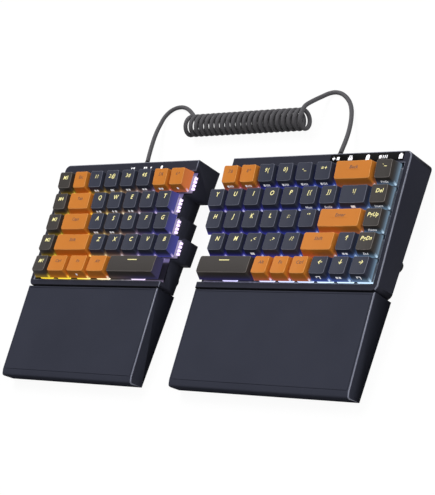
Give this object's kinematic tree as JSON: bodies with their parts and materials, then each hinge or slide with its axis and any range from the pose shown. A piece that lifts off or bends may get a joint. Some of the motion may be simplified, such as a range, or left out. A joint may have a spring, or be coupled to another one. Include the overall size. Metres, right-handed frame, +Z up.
{
  "type": "ergonomic split keyboard",
  "caption": "Split keyboard: two stepped halves of tapered keys with magnetic wrist rests, a status window and a coiled link cord.",
  "frame": {"origin": "middle of the footprint of the halves and rests, at the desk surface", "axes": "+X from the left half to the right half, +Y from the user to the back, +Z up"},
  "size_m": [0.374, 0.2682, 0.0399],
  "materials": {
    "case": "fine matt texture, slate",
    "cover": "matt moulded",
    "rest": "soft-touch matt, slate",
    "plate": "satin paint",
    "board": "solder mask",
    "switch": "clear moulded",
    "spring": "drawn wire",
    "guide": "moulded",
    "screw": "blackened",
    "foot": "matt",
    "magnet": "nickel plated",
    "socket": "drawn shell",
    "window": "polished black",
    "navy_cap": "satin, navy",
    "orange_cap": "satin, orange",
    "grey_cap": "satin, brown-grey",
    "cord": "smooth sheath",
    "plug": "overmoulded"
  },
  "bodies": {
    "left_half": {"left_upper_case": "case", "left_bottom_cover": "cover", "left_switch_plate": "plate", "left_circuit_board": "board", "left_switch_housings": "switch", "left_switch_springs": "spring", "left_stabilizers": "guide", "left_case_screws": "screw", "left_case_feet": "foot", "left_case_magnets": "magnet", "left_ports": "socket", "left_cord_plug": "plug", "left_cord_lead": "cord", "cord_coil": "cord"},
    "right_half": {"right_upper_case": "case", "right_bottom_cover": "cover", "right_switch_plate": "plate", "right_circuit_board": "board", "right_switch_housings": "switch", "right_switch_springs": "spring", "right_stabilizers": "guide", "right_case_screws": "screw", "right_case_feet": "foot", "right_case_magnets": "magnet", "right_port": "socket", "status_window": "window", "right_cord_lead": "cord", "right_cord_plug": "plug"},
    "left_rest": {"left_rest_shell": "rest", "left_rest_bottom": "cover", "left_rest_feet": "foot", "left_rest_magnets": "magnet"},
    "right_rest": {"right_rest_shell": "rest", "right_rest_bottom": "cover", "right_rest_feet": "foot", "right_rest_magnets": "magnet"},
    "macro_bank": {"macro_keys": "grey_cap"},
    "escape_bank": {"escape_key": "orange_cap"},
    "left_number_bank": {"left_number_keys": "navy_cap"},
    "left_accent_bank": {"left_accent_keys": "orange_cap"},
    "tab_bank": {"tab_key": "orange_cap"},
    "qwert_bank": {"qwert_keys": "navy_cap"},
    "caps_bank": {"caps_key": "orange_cap"},
    "asdfg_bank": {"asdfg_keys": "navy_cap"},
    "left_shift_bank": {"left_shift_key": "orange_cap"},
    "zxcvb_bank": {"zxcvb_keys": "navy_cap"},
    "left_modifier_bank": {"left_modifier_keys": "orange_cap"},
    "left_space_bank": {"left_space_key": "grey_cap"},
    "right_accent_bank": {"right_accent_keys": "orange_cap"},
    "right_number_bank": {"right_number_keys": "navy_cap"},
    "backspace_bank": {"backspace_key": "orange_cap"},
    "navigation_bank": {"navigation_keys": "grey_cap"},
    "yuiop_bank": {"yuiop_keys": "navy_cap"},
    "hjkl_bank": {"hjkl_keys": "navy_cap"},
    "enter_bank": {"enter_key": "orange_cap"},
    "nm_bank": {"nm_keys": "navy_cap"},
    "right_shift_bank": {"right_shift_key": "orange_cap"},
    "arrow_bank": {"arrow_keys": "navy_cap"},
    "right_modifier_bank": {"right_modifier_keys": "orange_cap"},
    "right_space_bank": {"right_space_key": "grey_cap"}
  },
  "joints": [
    {"name": "halves_spread", "type": "slide", "parent": "left_half", "child": "right_half", "axis": [1, 0, 0], "range_m": [-0.03, 0.15], "deforming": ["cord_coil"]},
    {"name": "left_rest_pull", "type": "slide", "parent": "left_half", "child": "left_rest", "axis": [0, -1, 0], "range_m": [0, 0.06]},
    {"name": "right_rest_pull", "type": "slide", "parent": "right_half", "child": "right_rest", "axis": [0, -1, 0], "range_m": [0, 0.06]},
    {"name": "macro_press", "type": "slide", "parent": "left_half", "child": "macro_bank", "axis": [0, 0.0785, -0.9969], "range_m": [0, 0.004], "stiffness_N_per_m": 375, "springref_m": -0.004},
    {"name": "escape_press", "type": "slide", "parent": "left_half", "child": "escape_bank", "axis": [0, 0.0785, -0.9969], "range_m": [0, 0.004], "stiffness_N_per_m": 75, "springref_m": -0.004},
    {"name": "left_number_press", "type": "slide", "parent": "left_half", "child": "left_number_bank", "axis": [0, 0.0785, -0.9969], "range_m": [0, 0.004], "stiffness_N_per_m": 300, "springref_m": -0.004},
    {"name": "left_accent_press", "type": "slide", "parent": "left_half", "child": "left_accent_bank", "axis": [0, 0.0785, -0.9969], "range_m": [0, 0.004], "stiffness_N_per_m": 150, "springref_m": -0.004},
    {"name": "tab_press", "type": "slide", "parent": "left_half", "child": "tab_bank", "axis": [0, 0.0785, -0.9969], "range_m": [0, 0.004], "stiffness_N_per_m": 75, "springref_m": -0.004},
    {"name": "qwert_press", "type": "slide", "parent": "left_half", "child": "qwert_bank", "axis": [0, 0.0785, -0.9969], "range_m": [0, 0.004], "stiffness_N_per_m": 375, "springref_m": -0.004},
    {"name": "caps_press", "type": "slide", "parent": "left_half", "child": "caps_bank", "axis": [0, 0.0785, -0.9969], "range_m": [0, 0.004], "stiffness_N_per_m": 75, "springref_m": -0.004},
    {"name": "asdfg_press", "type": "slide", "parent": "left_half", "child": "asdfg_bank", "axis": [0, 0.0785, -0.9969], "range_m": [0, 0.004], "stiffness_N_per_m": 375, "springref_m": -0.004},
    {"name": "left_shift_press", "type": "slide", "parent": "left_half", "child": "left_shift_bank", "axis": [0, 0.0785, -0.9969], "range_m": [0, 0.004], "stiffness_N_per_m": 75, "springref_m": -0.004},
    {"name": "zxcvb_press", "type": "slide", "parent": "left_half", "child": "zxcvb_bank", "axis": [0, 0.0785, -0.9969], "range_m": [0, 0.004], "stiffness_N_per_m": 375, "springref_m": -0.004},
    {"name": "left_modifier_press", "type": "slide", "parent": "left_half", "child": "left_modifier_bank", "axis": [0, 0.0785, -0.9969], "range_m": [0, 0.004], "stiffness_N_per_m": 225, "springref_m": -0.004},
    {"name": "left_space_press", "type": "slide", "parent": "left_half", "child": "left_space_bank", "axis": [0, 0.0785, -0.9969], "range_m": [0, 0.004], "stiffness_N_per_m": 75, "springref_m": -0.004},
    {"name": "right_accent_press", "type": "slide", "parent": "right_half", "child": "right_accent_bank", "axis": [0, 0.0785, -0.9969], "range_m": [0, 0.004], "stiffness_N_per_m": 150, "springref_m": -0.004},
    {"name": "right_number_press", "type": "slide", "parent": "right_half", "child": "right_number_bank", "axis": [0, 0.0785, -0.9969], "range_m": [0, 0.004], "stiffness_N_per_m": 300, "springref_m": -0.004},
    {"name": "backspace_press", "type": "slide", "parent": "right_half", "child": "backspace_bank", "axis": [0, 0.0785, -0.9969], "range_m": [0, 0.004], "stiffness_N_per_m": 75, "springref_m": -0.004},
    {"name": "navigation_press", "type": "slide", "parent": "right_half", "child": "navigation_bank", "axis": [0, 0.0785, -0.9969], "range_m": [0, 0.004], "stiffness_N_per_m": 300, "springref_m": -0.004},
    {"name": "yuiop_press", "type": "slide", "parent": "right_half", "child": "yuiop_bank", "axis": [0, 0.0785, -0.9969], "range_m": [0, 0.004], "stiffness_N_per_m": 600, "springref_m": -0.004},
    {"name": "hjkl_press", "type": "slide", "parent": "right_half", "child": "hjkl_bank", "axis": [0, 0.0785, -0.9969], "range_m": [0, 0.004], "stiffness_N_per_m": 450, "springref_m": -0.004},
    {"name": "enter_press", "type": "slide", "parent": "right_half", "child": "enter_bank", "axis": [0, 0.0785, -0.9969], "range_m": [0, 0.004], "stiffness_N_per_m": 75, "springref_m": -0.004},
    {"name": "nm_press", "type": "slide", "parent": "right_half", "child": "nm_bank", "axis": [0, 0.0785, -0.9969], "range_m": [0, 0.004], "stiffness_N_per_m": 375, "springref_m": -0.004},
    {"name": "right_shift_press", "type": "slide", "parent": "right_half", "child": "right_shift_bank", "axis": [0, 0.0785, -0.9969], "range_m": [0, 0.004], "stiffness_N_per_m": 75, "springref_m": -0.004},
    {"name": "arrow_press", "type": "slide", "parent": "right_half", "child": "arrow_bank", "axis": [0, 0.0785, -0.9969], "range_m": [0, 0.004], "stiffness_N_per_m": 300, "springref_m": -0.004},
    {"name": "right_modifier_press", "type": "slide", "parent": "right_half", "child": "right_modifier_bank", "axis": [0, 0.0785, -0.9969], "range_m": [0, 0.004], "stiffness_N_per_m": 225, "springref_m": -0.004},
    {"name": "right_space_press", "type": "slide", "parent": "right_half", "child": "right_space_bank", "axis": [0, 0.0785, -0.9969], "range_m": [0, 0.004], "stiffness_N_per_m": 75, "springref_m": -0.004}
  ]
}
